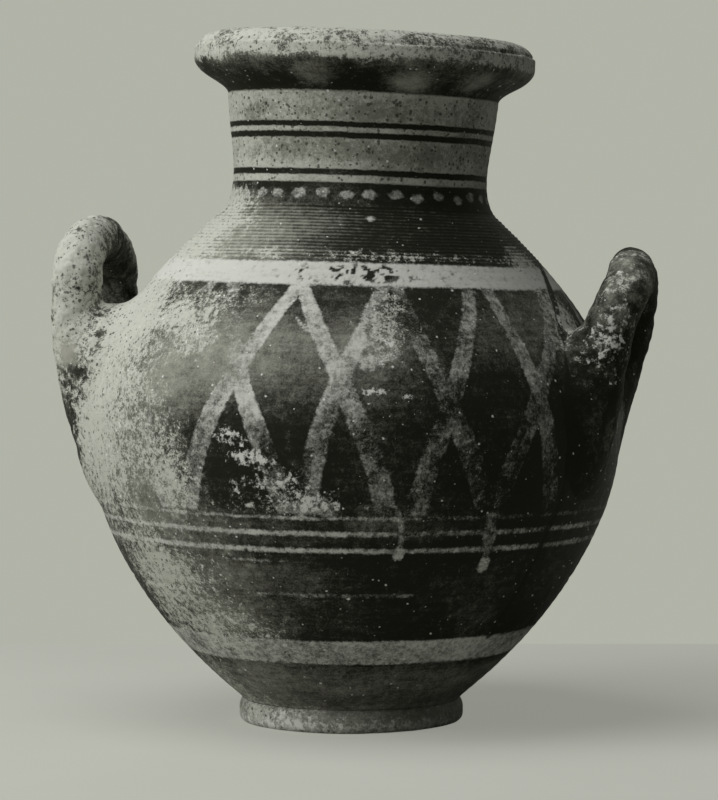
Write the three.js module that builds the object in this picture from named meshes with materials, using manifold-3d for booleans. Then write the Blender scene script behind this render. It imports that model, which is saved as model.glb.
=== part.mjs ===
// A two-handled clay jar: a low foot ring, a body thrown as a bowl and a shoulder, a tall neck, a heavy rim
// and two coil handles that turn up from the shoulder.
// Millimetres, +Z up. The jar stands on z = 0 with a handle at each end of X, and the origin lies under the
// middle of its whole width. Every piece is drawn upright about the middle of the foot, and the slump of the
// fired jar is then laid over all of them.

import * as THREE from "three";
import { mergeVertices } from "three/addons/utils/BufferGeometryUtils.js";
import Module from "manifold-3d";

const wasm = await Module();
wasm.setup();

// Sizes that several pieces share
const wall = 7; // thickness of the thrown wall
const slip = 0.3; // film of slip between two luted pieces
const bellyRadius = 155.5; // widest ring, where the bowl meets the shoulder
const neckSeamRadius = 79; // where the shoulder meets the neck
const rimSeamRadius = 78.6; // where the neck meets the rim
const mouthDrift = 8.5; // how far the mouth has slumped towards +X
const tongue = { width: 3, height: 2.5 }; // ridge on a lower edge that keys into the piece above it

// Sizes of single pieces
const foot = { height: 13, radius: 65.5, waist: 63, bore: 44, edge: 2 };
const bowl = { height: 163, baseRadius: 62, floor: 9, spread: 0.235, spreadRise: 0.104, fullness: 0.515 };
const shoulder = { height: 121, fullness: 0.33, slopeWidth: 0.534, slopeHeight: 0.302 };
const neck = { height: 66, drawIn: 10, drawInHeight: 15, flare: 2.1, flareHeight: 28 };
const rim = { height: 34.5, radius: 99.2, crestRadius: 84, flareHeight: 20, face: 6, groove: 1.4, lip: 12.5 };
const rimFlare = { rise: 6.5, drop: 10, outward: 1 }; // pull of the hollow curve at its foot and at its edge
const handles = {
  left_handle: { side: -1, coil: 14, standOff: 1, bow: 4, rise: 101, tail: 42, knee: 24 },
  right_handle: { side: 1, coil: 12.5, standOff: 5, bow: -4, rise: 93, tail: 12, knee: 39 },
};
const loop = { span: 94, bend: 24 }; // leg to leg, and how far below the crown the bend starts
const root = { rise: 33, length: 30, width: 19, depth: 21 }; // clay smeared round each root

// How finely the round forms are cut
const latheSides = 52;
const coilSides = 14;
const coilSteps = 36;
const bendSteps = 10;
const legSteps = 7;
const rimFacets = { flare: 5, top: 4, lip: 4 };
const clayFacets = { around: 18, rows: 10 };
const mergeDistance = 1e-4;

// Heights of the seams, from the stack of pieces
const footTop = foot.height;
const belly = footTop + bowl.height;
const neckSeam = belly + shoulder.height;
const rimSeam = neckSeam + neck.height;
const crest = rimSeam + rim.height;

const at = (radius, height) => new THREE.Vector2(radius, height);

// Outer outlines of the thrown wall, from low to high
const bowlOutline = new THREE.CubicBezierCurve(
  at(bowl.baseRadius, footTop),
  at(
    bowl.baseRadius + bowl.spread * (bellyRadius - bowl.baseRadius),
    footTop + bowl.spreadRise * bowl.height,
  ),
  at(bellyRadius, belly - bowl.fullness * bowl.height),
  at(bellyRadius, belly),
);
const shoulderOutline = new THREE.CubicBezierCurve(
  at(bellyRadius, belly),
  at(bellyRadius, belly + shoulder.fullness * shoulder.height),
  at(
    neckSeamRadius + shoulder.slopeWidth * (bellyRadius - neckSeamRadius),
    neckSeam - shoulder.slopeHeight * shoulder.height,
  ),
  at(neckSeamRadius, neckSeam),
);
const neckOutline = new THREE.CubicBezierCurve(
  at(neckSeamRadius, neckSeam),
  at(neckSeamRadius - neck.drawIn, neckSeam + neck.drawInHeight),
  at(rimSeamRadius - neck.flare, rimSeam - neck.flareHeight),
  at(rimSeamRadius, rimSeam),
);
const thrownOutlines = [
  [bowlOutline, 9],
  [shoulderOutline, 7],
  [neckOutline, 6],
];

// The whole wall's outline, moved square to itself by a distance that is positive outwards
function wallRun(distance) {
  return thrownOutlines.flatMap(([outline, divisions], piece) => {
    const points = [];
    for (let i = piece ? 1 : 0; i <= divisions; i++) {
      const along = outline.getTangent(i / divisions);
      points.push(outline.getPoint(i / divisions).add(at(along.y, -along.x).multiplyScalar(distance)));
    }
    return points;
  });
}

// The radius of a run of points at a height
function radiusAt(run, height) {
  const above = run.findIndex((point, i) => i > 0 && point.y >= height);
  const [low, high] = [run[above - 1], run[above]];
  return low.x + ((high.x - low.x) * (height - low.y)) / (high.y - low.y);
}

// The stretch of a run between two heights, ending on both of them
function stretch(run, low, high) {
  const between = run.filter((point) => point.y > low && point.y < high);
  return [at(radiusAt(run, low), low), ...between, at(radiusAt(run, high), high)];
}

// Both faces of the wall, carried straight up through the rim
const outerRun = [...wallRun(0), at(rimSeamRadius, crest)];
const innerRun = [...wallRun(-wall), at(rimSeamRadius - wall, crest)];

// A level seam from its outer edge to its inner one, with the tongue or, given room, the groove round it
function keyedSeam(outer, inner, middle, level, room = 0) {
  return [
    at(outer, level),
    at(middle + tongue.width / 2 + room, level),
    at(middle + tongue.width / 4 + room, level + tongue.height),
    at(middle - tongue.width / 4 - room, level + tongue.height),
    at(middle - tongue.width / 2 - room, level),
    at(inner, level),
  ];
}

// The two sides of a seam through the thrown wall: the tongue below it and the groove above it
function wallSeam(height, level, room) {
  const middle = (radiusAt(outerRun, height) + radiusAt(innerRun, height)) / 2;
  return keyedSeam(radiusAt(outerRun, level), radiusAt(innerRun, level), middle, level, room);
}
const tongueSeam = (height) => wallSeam(height, height - slip / 2);
const grooveSeam = (height) => wallSeam(height, height + slip / 2, slip).reverse();

const footMiddle = (foot.waist + foot.bore) / 2;
const lathe = (points) => new THREE.LatheGeometry(points, latheSides).rotateX(Math.PI / 2);

function footRing() {
  return lathe([
    at(foot.bore, 0),
    at(foot.radius - foot.edge, 0),
    at(foot.radius, foot.edge),
    at(foot.radius, footTop - foot.edge),
    ...keyedSeam(foot.waist, foot.bore, footMiddle, footTop - slip / 2),
    at(foot.bore, 0),
  ]);
}

function lowerBody() {
  const floorTop = footTop + bowl.floor;
  const seam = belly - slip / 2;
  const underside = footTop + slip / 2;
  return lathe([
    at(0, underside),
    ...keyedSeam(bowl.baseRadius, foot.bore, footMiddle, underside, slip).reverse().slice(1, -1),
    ...stretch(outerRun, underside, seam).slice(0, -1),
    ...tongueSeam(belly),
    ...stretch(innerRun, floorTop, seam).reverse().slice(1),
    at(0, floorTop),
  ]);
}

// A section of the wall between two seams
function thrownSection(lowSeam, highSeam) {
  const low = lowSeam + slip / 2;
  const high = highSeam - slip / 2;
  return lathe([
    ...grooveSeam(lowSeam).slice(0, -1),
    ...stretch(outerRun, low, high).slice(0, -1),
    ...tongueSeam(highSeam).slice(0, -1),
    ...stretch(innerRun, low, high).reverse(),
  ]);
}

// The rim: a hollow flare under it, an upright face, a turned groove, a sloping top and a rounded lip
function rimRing() {
  const low = rimSeam + slip / 2;
  const faceLow = rimSeam + rim.flareHeight;
  const faceHigh = faceLow + rim.face;
  const mouth = rimSeamRadius - wall;
  const flare = new THREE.CubicBezierCurve(
    at(rimSeamRadius, low),
    at(rimSeamRadius + rimFlare.outward, low + rimFlare.rise),
    at(rim.radius, faceLow - rimFlare.drop),
    at(rim.radius, faceLow),
  );
  const top = new THREE.QuadraticBezierCurve(
    at(rim.radius - rim.groove, faceHigh + rim.groove),
    at(rim.radius - 4 * rim.groove, crest),
    at(rim.crestRadius, crest),
  );
  const lip = new THREE.QuadraticBezierCurve(
    at(rim.crestRadius, crest),
    at(mouth, crest),
    at(mouth, crest - rim.lip),
  );
  return lathe([
    ...grooveSeam(rimSeam).slice(0, -1),
    ...flare.getPoints(rimFacets.flare),
    at(rim.radius, faceHigh),
    at(rim.radius - rim.groove, faceHigh + rim.groove / 2),
    ...top.getPoints(rimFacets.top),
    ...lip.getPoints(rimFacets.lip).slice(1),
    grooveSeam(rimSeam)[0],
  ]);
}

// A geometry as a solid that can be cut and joined, and back again
function toSolid(geometry) {
  const bare = geometry.index ? geometry.toNonIndexed() : geometry.clone();
  bare.deleteAttribute("normal");
  bare.deleteAttribute("uv");
  const merged = mergeVertices(bare, mergeDistance);
  return new wasm.Manifold(
    new wasm.Mesh({
      numProp: 3,
      vertProperties: merged.attributes.position.array,
      triVerts: new Uint32Array(merged.index.array),
    }),
  );
}

function toGeometry(solid) {
  const mesh = solid.getMesh();
  return new THREE.BufferGeometry()
    .setAttribute("position", new THREE.BufferAttribute(mesh.vertProperties, 3))
    .setIndex(new THREE.BufferAttribute(mesh.triVerts, 1));
}

// All that lies within the outer wall, grown by the slip, which is what a handle's roots are cut against
function bodyWithSlip() {
  const run = wallRun(slip);
  const [low, high] = [run[0].y, run.at(-1).y];
  return toSolid(lathe([at(0, low), ...run, at(0, high)]));
}

// A handle's centre line: from a tail sunk in the wall, up a leg, over a flat bend and down the other leg
function handleCentreLine(handle) {
  const half = loop.span / 2;
  const reach = bellyRadius + handle.standOff;
  const crown = belly + handle.rise;
  const tail = belly - handle.tail;
  const sunk = Math.sqrt((radiusAt(outerRun, tail) - handle.coil) ** 2 - half ** 2);
  const leg = new THREE.QuadraticBezierCurve3(
    new THREE.Vector3(sunk, half, tail),
    new THREE.Vector3(reach + handle.bow, half, belly + handle.knee),
    new THREE.Vector3(reach, half, crown - loop.bend),
  );
  const bend = [];
  for (let step = 1; step < bendSteps; step++) {
    const turn = (Math.PI * step) / bendSteps;
    bend.push(new THREE.Vector3(reach, half * Math.cos(turn), crown - loop.bend * (1 - Math.sin(turn))));
  }
  const up = leg.getPoints(legSteps);
  const down = up.map((point) => new THREE.Vector3(point.x, -point.y, point.z)).reverse();
  return new THREE.CatmullRomCurve3([...up, ...bend, ...down], false, "centripetal");
}

// The clay smeared round a root: an upright egg, half sunk in the wall, that fills the fork behind the leg
function rootClay(across) {
  const height = belly + root.rise;
  const radius = radiusAt(outerRun, height);
  return new THREE.SphereGeometry(1, clayFacets.around, clayFacets.rows)
    .rotateX(Math.PI / 2)
    .scale(root.depth, root.width, root.length)
    .translate(radius, 0, height)
    .rotateZ(Math.asin(across / radius));
}

function coilHandle(handle, body) {
  const section = new THREE.Shape().absarc(0, 0, handle.coil, 0, 2 * Math.PI);
  const coil = new THREE.ExtrudeGeometry(section, {
    curveSegments: coilSides / 2,
    steps: coilSteps,
    extrudePath: handleCentreLine(handle),
  });
  const clay = [loop.span / 2, -loop.span / 2].map((across) => toSolid(rootClay(across)));
  const loose = toSolid(coil).add(clay[0]).add(clay[1]).subtract(body);
  const geometry = toGeometry(loose);
  return handle.side > 0 ? geometry : geometry.rotateZ(Math.PI);
}

// The slump: each level slides towards +X and tips with it, more and more towards the mouth
function slumped(geometry) {
  const rate = mouthDrift / (crest - footTop) ** 2;
  const position = geometry.attributes.position;
  for (let i = 0; i < position.count; i++) {
    const [x, z] = [position.getX(i), position.getZ(i)];
    const up = Math.max(0, z - footTop);
    const tip = Math.atan(2 * rate * up);
    position.setX(i, rate * up * up + x * Math.cos(tip));
    position.setZ(i, z - x * Math.sin(tip));
  }
  geometry.computeVertexNormals();
  return geometry;
}

// Fired clay under pale slip and dark paint
const paleSlip = new THREE.MeshStandardMaterial({ color: 0xb5b7ab, roughness: 0.85, metalness: 0 });
const darkPaint = new THREE.MeshStandardMaterial({ color: 0x39392e, roughness: 0.6, metalness: 0 });
const wornPaint = new THREE.MeshStandardMaterial({ color: 0x77776b, roughness: 0.75, metalness: 0 });

const group = new THREE.Group();

function place(name, geometry, material) {
  const mesh = new THREE.Mesh(slumped(geometry), material);
  mesh.name = name;
  group.add(mesh);
}

place("foot_ring", footRing(), wornPaint);
place("lower_body", lowerBody(), darkPaint);
place("shoulder", thrownSection(belly, neckSeam), darkPaint);
place("neck", thrownSection(neckSeam, rimSeam), paleSlip);
place("rim", rimRing(), paleSlip);
const body = bodyWithSlip();
for (const [name, handle] of Object.entries(handles)) place(name, coilHandle(handle, body), wornPaint);

// The slump and the handles make the jar reach further on one side, so it is moved to stand over the origin.
const width = new THREE.Box3().setFromObject(group);
group.position.x = -(width.min.x + width.max.x) / 2;

export default group;
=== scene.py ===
import math

import bmesh
import bpy
import numpy as np
import openvdb
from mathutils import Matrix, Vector

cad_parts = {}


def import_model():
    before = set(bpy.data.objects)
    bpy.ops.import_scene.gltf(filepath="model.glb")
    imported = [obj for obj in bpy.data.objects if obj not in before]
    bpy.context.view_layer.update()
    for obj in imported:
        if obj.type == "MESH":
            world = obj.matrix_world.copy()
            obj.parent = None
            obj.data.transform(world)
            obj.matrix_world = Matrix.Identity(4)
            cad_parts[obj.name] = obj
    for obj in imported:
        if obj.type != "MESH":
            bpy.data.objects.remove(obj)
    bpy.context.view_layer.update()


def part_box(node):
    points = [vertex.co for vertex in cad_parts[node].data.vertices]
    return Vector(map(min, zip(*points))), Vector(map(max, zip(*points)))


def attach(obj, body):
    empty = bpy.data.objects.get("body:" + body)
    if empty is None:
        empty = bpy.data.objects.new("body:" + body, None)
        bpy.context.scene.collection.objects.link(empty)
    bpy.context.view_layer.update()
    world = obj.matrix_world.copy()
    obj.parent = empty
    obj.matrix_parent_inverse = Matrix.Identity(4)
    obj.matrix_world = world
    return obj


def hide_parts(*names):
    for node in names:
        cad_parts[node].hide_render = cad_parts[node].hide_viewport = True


# A two-handled clay jar, painted dark with bands and crossing strokes in pale slip, worn and limed by burial.
# Every piece is drawn upright about the middle of its foot, in millimetres, and the slump of the fired jar is
# laid over all of them. A turn is an angle round the jar in degrees, from -Y towards +X.

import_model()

# Sizes of the jar, in millimetres
wall = 7.0
slip_gap = 0.3
belly_radius = 155.5
neck_seam_radius = 79.0
rim_seam_radius = 78.6
mouth_drift = 8.5
tongue_width, tongue_height = 3.0, 2.5
foot_height, foot_radius, foot_waist, foot_bore, foot_round = 13.0, 65.5, 63.0, 44.0, 4.5
bowl_height, bowl_base, floor_thickness = 163.0, 62.0, 9.0
shoulder_height, neck_height, rim_height = 121.0, 66.0, 34.5
rim_radius, crest_radius, flare_height, face_height, lip_height = 99.2, 84.0, 20.0, 6.0, 12.5
groove = 1.4
# Each handle: its side of the jar, its coil's radius, how far the legs stand off the widest ring and bow out
# below, how far the crown lies above that ring and the tail below it, the height of the legs' knee, how wide
# the clay webs out on the wall higher up, how much thicker the front leg is, and how far each leg leans out
# at heights above the ring
handles = {
    "left_handle": dict(
        side=-1, coil=14.0, stand_off=1.0, bow=4.0, rise=101.0, tail=24.0, knee=26.0, web=28.0, swell=0.0,
        front=[(60, 0), (90, 0)], back=[(50, 0), (74, 3.5), (101, 2.5)],
    ),
    "right_handle": dict(
        side=1, coil=12.5, stand_off=2.7, bow=-4.0, rise=93.0, tail=12.0, knee=39.0, web=10.0, swell=1.5,
        front=[(14, 0), (30, -1), (50, -2.5), (62, -2.7), (74, 0.7), (94, 8.2)],
        back=[
            (-12, -3.5), (5, -3.5), (22, -0.5), (36, 1), (52, 0), (67, -0.5), (80, 1.5), (88, 4), (94, 4.8),
        ],
    ),
}
loop_span, loop_bend = 94.0, 24.0
root_rise, root_size = 30.0, (13.5, 17.0, 27.0)
crown_thinning, root_blend, wall_blend = 1.0, 9.0, 22.0
# Above the widest ring: where the clay on the wall starts to narrow, and where it is as narrow as the web
web_start, web_full = 20.0, 58.0
# How far the clay's edge dips into the wall, and how deep the handle's back lies in it
edge_dip, sunk_depth = 0.6, 2.5
# The space a handle is made in: from and to how far out, half its width, and its room below and above
handle_near, handle_far, handle_half, room_below, room_above = 100.0, 184.0, 90.0, 40.0, 6.0

# Heights of the seams
belly = foot_height + bowl_height
neck_seam = belly + shoulder_height
rim_seam = neck_seam + neck_height
crest = rim_seam + rim_height
face_low = rim_seam + flare_height
face_high = face_low + face_height

# The foot stands where its CAD solid stands
foot_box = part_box("foot_ring")
foot_middle = (foot_box[0].x + foot_box[1].x) / 2

# Fineness of the meshes: columns round the jar, steps along the outline up to each height, a handle's voxels
# and the distance that stands for empty space round them, and points along a leg and along its bend
columns = 540
foot_step, rim_step = 0.9, 0.8
bowl_steps = [(78, 1.7), (92, 0.9), (104, 1.7), (134, 0.85), (belly, 1.7)]
shoulder_steps = [(264, 1.5), (neck_seam, 0.65)]
neck_steps = [(rim_seam, 0.8)]
foot_hidden_step, bowl_hidden_step, wall_hidden_step, rim_hidden_step = 3.0, 10.0, 6.0, 4.0
voxel, no_clay = 1.1, 10.0
leg_points, bend_points = 24, 24

# The camera's turn, and a millimetre in metres
view_turn = 10.8
mm = 0.001


def bezier(points, count=160):
    """A curve with those control points."""
    t = np.linspace(0, 1, count)[:, None]
    level = [np.array(point, float)[None, :] for point in points]
    while len(level) > 1:
        level = [(1 - t) * a + t * b for a, b in zip(level, level[1:])]
    return level[0]


def joined(*runs):
    """Runs of points end to end, without the point that two of them share."""
    return np.vstack([runs[0]] + [run[1:] for run in runs[1:]])


def thrown_wall():
    """The wall's outer outline as radius and height, from the foot to the rim."""
    bowl_reach = belly_radius - bowl_base
    base, belly_point = (bowl_base, foot_height), (belly_radius, belly)
    neck_base, neck_top = (neck_seam_radius, neck_seam), (rim_seam_radius, rim_seam)
    low = (bowl_base + 0.235 * bowl_reach, foot_height + 0.104 * bowl_height)
    bowl = bezier([base, low, (belly_radius, belly - 0.515 * bowl_height), belly_point])
    slope = belly_radius - neck_seam_radius
    high = (neck_seam_radius + 0.534 * slope, neck_seam - 0.302 * shoulder_height)
    shoulder = bezier([belly_point, (belly_radius, belly + 0.33 * shoulder_height), high, neck_base])
    bends = (neck_seam_radius - 10, neck_seam + 15), (rim_seam_radius - 2.1, rim_seam - 28)
    return joined(bowl, shoulder, bezier([neck_base, *bends, neck_top]))


def moved_out(run, distance):
    """A run moved square to itself, outwards where it climbs."""
    along = np.gradient(run, axis=0)
    along /= np.linalg.norm(along, axis=1)[:, None]
    return run + distance * np.stack([along[:, 1], -along[:, 0]], 1)


def way_along(run):
    """The distance from a run's start to each of its points."""
    return np.r_[0, np.cumsum(np.linalg.norm(np.diff(run, axis=0), axis=1))]


outer_wall = thrown_wall()
inner_wall = moved_out(outer_wall, -wall)
wall_reach = way_along(outer_wall)


def reach_at(height):
    return np.interp(height, outer_wall[:, 1], wall_reach)


def radius_at(run, height):
    return np.interp(height, run[:, 1], run[:, 0])


def stretch(run, low, high):
    """The part of a climbing run between two heights, ending on both."""
    middle = run[(run[:, 1] > low) & (run[:, 1] < high)]
    ends = [(radius_at(run, level), level) for level in (low, high)]
    return np.vstack([ends[:1], middle, ends[1:]])


def spaced(run, step):
    """A run's points set again at even steps of about that length."""
    reach = way_along(run)
    even = np.linspace(0, reach[-1], max(2, round(reach[-1] / step) + 1))
    return np.stack([np.interp(even, reach, run[:, axis]) for axis in (0, 1)], 1)


# Noise that the meshes and the painting share

def noise(at, cell, seed):
    """Smooth noise from 0 to 1 whose bumps are about cell millimetres apart."""
    size = 64
    table = np.random.default_rng(seed).random((size, size, size), dtype=np.float32)
    place = at / cell
    low = np.floor(place).astype(np.int64)
    share = place - low
    share = share * share * (3 - 2 * share)
    low %= size
    high = (low + 1) % size
    total = 0
    for corner in range(8):
        pick = [(corner >> axis) & 1 for axis in range(3)]
        index = tuple((high if pick[axis] else low)[:, axis] for axis in range(3))
        weight = np.prod([share[:, a] if pick[a] else 1 - share[:, a] for a in range(3)], axis=0)
        total = total + weight * table[index]
    return total


def cloud(at, cell, seed, layers=3):
    """Layered noise about 0, mostly between -0.5 and 0.5."""
    total, weight = 0, 1.0
    for layer in range(layers):
        total = total + weight * (noise(at, cell / 2**layer, seed + layer) - 0.5)
        weight *= 0.55
    return total * 1.2


def smooth(value, low, high):
    t = np.clip((value - low) / (high - low), 0, 1)
    return t * t * (3 - 2 * t)


def apart(turn, other):
    """The shortest way from one turn to another, in degrees."""
    return (turn - other + 180) % 360 - 180


def round_place(turn, height, radius):
    angle = np.radians(turn)
    return np.stack([radius * np.sin(angle), -radius * np.cos(angle), height], 1)


# Painting. Each field is a distance in millimetres from the edge of a painted area, positive inside it.
# Bands and lines have the heights of their edges, a thin line its height, half width and strength.

neck_lines = [(343.2, 346.3), (337.0, 340.5), (316.3, 319.8)]
collar_top = 312.2
band_low, band_high = 254.9, 267.6
thin_lines = [(129.5, 0.8, 0.55), (120.9, 1.3, 0.75), (111.3, 1.3, 0.8)]
light_band = (42.5, 59.0)
stroke_low, stroke_high = 131.5, 255.5
stroke_count = 15
first_apex = -4.4
stroke_top_half, stroke_foot_half = 3.7, 5.9
# Where a stroke isn't seen: the gap between two that meet and how much each end strays, at the top and at the
# foot, and the least and most that it bends
apex_gap, apex_stray, toe_gap, toe_stray = 1.6, 0.7, 2.0, 1.2
least_bend, most_bend = 0.1, 0.6
# How solid the strokes' slip is, at turns round the jar, fainter on the right partly as painted shade of the
# side away from the lamps, and how much of it goes towards the foot
stroke_fade_and_shade = [
    (-180, 0.5), (-100, 0.7), (-60, 0.95), (-20, 0.9), (10, 0.7), (30, 0.42), (60, 0.46), (100, 0.45),
    (180, 0.5),
]
foot_fade = 0.36
dot_height, dot_count, dot_turn, dot_radius = 305.6, 34, -5.5, 2.5
dot_narrowing, dot_stray = 0.66, 0.8
band_solid, light_solid, dot_solid = 1.25, 0.72, 0.62
# Flecks knocked out of the pale band: turn, height, half width, half height and strength
band_flecks = (10, 262, 22, 5.5, 1.6)
ridge_step, ridge_low, ridge_high = 2.6, 267, 301
score_height = 85.5
# Drips, a scratch and a scored line: the way they take, half their width in millimetres and their strength
fine_marks = [
    ([(20.5, 133), (21.6, 120), (21.2, 111)], 1.5, 0.5),
    ([(21.2, 111), (21.2, 109)], 3.0, 0.75),
    ([(41.5, 129), (42.3, 115)], 3.6, 0.32),
    ([(42.3, 115), (42.6, 104)], 1.6, 0.25),
    ([(42.6, 104), (42.6, 101)], 3.4, 0.75),
    ([(-3.4, 236.7), (-0.6, 231), (3.8, 226.5)], 0.7, 1.5),
    ([(-13, score_height), (26, score_height)], 0.7, 0.4),
    ([(-20, 104.6), (-4, 104.8)], 0.5, 0.4),
]
# The strokes that the photograph shows: apex, way round, turn at the top, turn at the foot and bend
seen_strokes = {
    (0, -1): (-4.5, -26.0, 0.45),
    (-1, 1): (-24.0, -2.7, 0.3),
    (0, 1): (-3.7, 18.0, 0.5),
    (1, -1): (18.0, 1.5, 0.85),
    (1, 1): (21.0, 40.5, -0.1),
    (2, -1): (42.2, 23.8, 0.5),
    (2, 1): (47.5, 57.5, 0.1),
    (3, -1): (73.0, 42.5, 0.8),
}
# The dark stripe that runs down the right, over a crack
stripe_path = [
    (103, 297), (93, 277), (84, 265), (76.5, 254), (70, 238), (64, 216), (61, 196), (61, 160), (60, 132),
    (59, 120), (58, 95), (57, 74), (56, 66), (57, 58),
]
stripe_half = 2.6
# Places on the wall: turn, height, half width in degrees, half height in millimetres and strength.
# Worn places have lost their paint, thin ones let the clay show through it; on the front left the thin places
# also stand in for the dark paint's sheen, a painted sheen.
worn_places = [
    (-66, 238, 29, 34, 1.0),
    (-34, 238, 12, 12, 0.5),
    (-28, 224, 7, 12, 0.45),
    (-64, 168, 25, 60, 0.85),
    (-29, 150, 8, 26, 0.55),
    (-38, 180, 8, 26, 0.45),
    (-52, 200, 14, 30, 0.3),
    (17, 227, 7, 14, 0.55),
    (-44, 90, 20, 40, 0.62),
    (-26, 60, 22, 16, 0.4),
    (-30, 8, 24, 14, 0.5),
    (-66, 284, 26, 22, 0.8),
    (-40, 284, 22, 20, 0.35),
    (-72, 303, 26, 9, 0.7),
    (0, 271.5, 75, 4, 0.42),
    (74, 268, 9, 14, 0.55),
    (72, 236, 10, 28, 0.7),
    (150, 120, 24, 44, 0.55),
    (-150, 215, 28, 38, 0.75),
    (175, 60, 24, 22, 0.45),
    (120, 255, 18, 18, 0.45),
    (-120, 282, 26, 14, 0.6),
    (-175, 180, 16, 30, 0.45),
    (160, 8, 40, 14, 0.4),
    (10, 1, 200, 5, 0.45),
    (20, 6, 90, 9, 0.3),
    (-8, 138, 14, 9, 0.3),
    (-58, 28, 26, 18, 0.4),
    (-50, 9, 22, 9, 0.35),
    (-21, 246, 12, 9, 0.4),
    (20, 247, 6, 8, 0.4),
]
thin_and_sheen_places = [
    (-6, 218, 24, 28, 0.85),
    (-29, 208, 12, 24, 0.9),
    (-52, 180, 28, 70, 0.6),
    (-24, 80, 30, 56, 0.4),
    (-36, 284, 32, 24, 0.95),
    (58, 242, 26, 26, 0.45),
    (-160, 210, 40, 60, 0.7),
    (130, 150, 40, 60, 0.5),
    (0, 6, 400, 11, 0.9),
    (0, 28, 400, 16, 0.65),
    (-14, 85, 32, 22, 0.12),
    (-5, 124, 48, 10, 0.3),
    (0, 385, 400, 14, 0.45),
    (-8, 371, 8, 7, 0.8),
    (28, 369, 9, 6, 0.9),
    (57, 371, 7, 7, 0.8),
    (-150, 371, 20, 8, 0.7),
]
# Chips knocked out of the surface: turn, height and radius in millimetres
chips = [(-34, 355.5, 1.2), (-13.4, 110, 1.3)]
# Smears of slip: turn, height, half width and half height in millimetres, and strength. From smear_whole
# millimetres of half height on, their edges stray by smear_rough.
smear_rough, smear_whole = 8, 5
smears = [
    (15, 292, 2.2, 1.2, 1.6),
    (-11, 135.5, 2.2, 1.8, 1.6),
    (16.5, 231, 8, 13, 0.32),
    (14.5, 215, 5.5, 2.6, 0.9),
    (-24, 226, 4, 9, 0.35),
    (4, 136, 12, 4, 0.6),
]
# Places where the strokes have been rubbed away
rubbed_places = [
    (-34, 222, 13, 36, 0.8),
    (-21, 236, 6, 22, 0.7),
    (25, 238, 6, 20, 0.3),
    (-6, 158, 8, 22, 0.35),
    (12, 172, 9, 30, 0.35),
    (71, 146, 7, 26, 1.0),
    (30, 195, 16, 26, 0.15),
]
# Lumps of burial lime
crust_places = [
    (17, 228, 6.5, 15, 0.65),
    (15, 214, 6, 4, 0.6),
    (14, 198.5, 4.5, 3.5, 0.95),
    (22, 195.5, 2, 2.5, 0.95),
    (-15, 172, 5, 7, 0.8),
    (-10, 161, 6, 8, 0.9),
    (-3, 148, 7, 10, 0.8),
    (2, 138, 9, 8, 0.9),
    (-12, 146, 6, 5, 0.6),
    (-44, 158, 16, 40, 0.5),
    (-30, 226, 7, 12, 0.6),
    (-28, 84, 15, 32, 0.6),
    (-16, 60, 12, 14, 0.4),
    (-24, 7, 20, 9, 0.85),
    (10, 3, 300, 6.5, 0.8),
    (73, 234, 8, 20, 0.8),
    (140, 110, 20, 50, 0.6),
    (-140, 190, 26, 40, 0.6),
]
# Stains on the neck
soiled_places = [
    (-38, 350, 16, 6, 0.5),
    (24, 352, 40, 7, 0.4),
    (10, 329, 90, 7, 0.35),
    (60, 340, 30, 40, 0.3),
    (170, 330, 50, 20, 0.3),
]
# The wear that is everywhere, what the crests of the throwing ridges have more, and the wear of the rim's top
least_wear, ridge_wear = 0.08, 0.14
rim_wear, rim_wear_low, rim_wear_high = 0.73, 376.5, 384
# How pale the neck's bare clay is, how much paler at the left as painted light on the side that faces the key
# lamp, and how much paler at the right
neck_tone, painted_light_left, right_tone = 0.48, 0.34, 0.3
# How gritty the clay is under the paint, on the neck and on the rim
body_grit, neck_grit, rim_grit = 0.15, 1.0, 0.8
# A field's value far outside its painted areas, in millimetres
far_out = -50.0


def bump_at(offset, half):
    """A smooth bump of height 1 and about that half width, at offset 0."""
    return np.exp(-((offset / half) ** 2))


def between(height, low, high):
    return np.minimum(height - low, high - height)


def gathered(turn, height, places):
    """How far each point lies in those places, from 0 to 1."""
    left = np.ones(len(turn))
    for place_turn, place_height, wide, high, strength in places:
        away = (apart(turn, place_turn) / wide) ** 2 + ((height - place_height) / high) ** 2
        left *= 1 - strength * np.exp(-(away**1.5))
    return 1 - left


def dark_field(level):
    """Distance inside the areas of dark paint."""
    field = collar_top - level
    for low, high in neck_lines:
        field = np.maximum(field, between(level, low, high))
    return np.maximum(field, level - rim_seam - 0.2)


def stroke_shapes():
    """Each stroke as its turn at the top, its turn at the foot, and how much it bends."""
    draw = np.random.default_rng(8)
    pitch = 360 / stroke_count
    shapes = []
    for apex in range(stroke_count):
        number = apex if 2 * apex <= stroke_count else apex - stroke_count
        for way in (-1, 1):
            top = first_apex + pitch * number + way * (apex_gap + draw.normal(0, apex_stray))
            foot = first_apex + pitch * (number + way) - way * (toe_gap + draw.normal(0, toe_stray))
            bend = draw.uniform(least_bend, most_bend)
            shapes.append(seen_strokes.get((number, way), (top, foot, bend)))
    return shapes


def stroke_field(turn, height, radius, rough):
    """Distance inside the strokes of slip that cross between the bands."""
    down = (stroke_high - height) / (stroke_high - stroke_low)
    field = np.full(len(turn), far_out)
    for top, foot, bend in stroke_shapes():
        centre = top + (foot - top) * down * (1 + bend - bend * down)
        rate = (foot - top) * (1 + bend - 2 * bend * down) / (stroke_high - stroke_low)
        lean = np.radians(rate) * radius
        side = np.abs(np.radians(apart(turn, centre))) * radius / np.sqrt(1 + lean**2)
        half = stroke_top_half + (stroke_foot_half - stroke_top_half) * np.clip(1.6 * down, 0, 1)
        field = np.maximum(field, half + rough - side)
    return np.minimum(field, between(height, stroke_low + 2 * rough, stroke_high))


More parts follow.
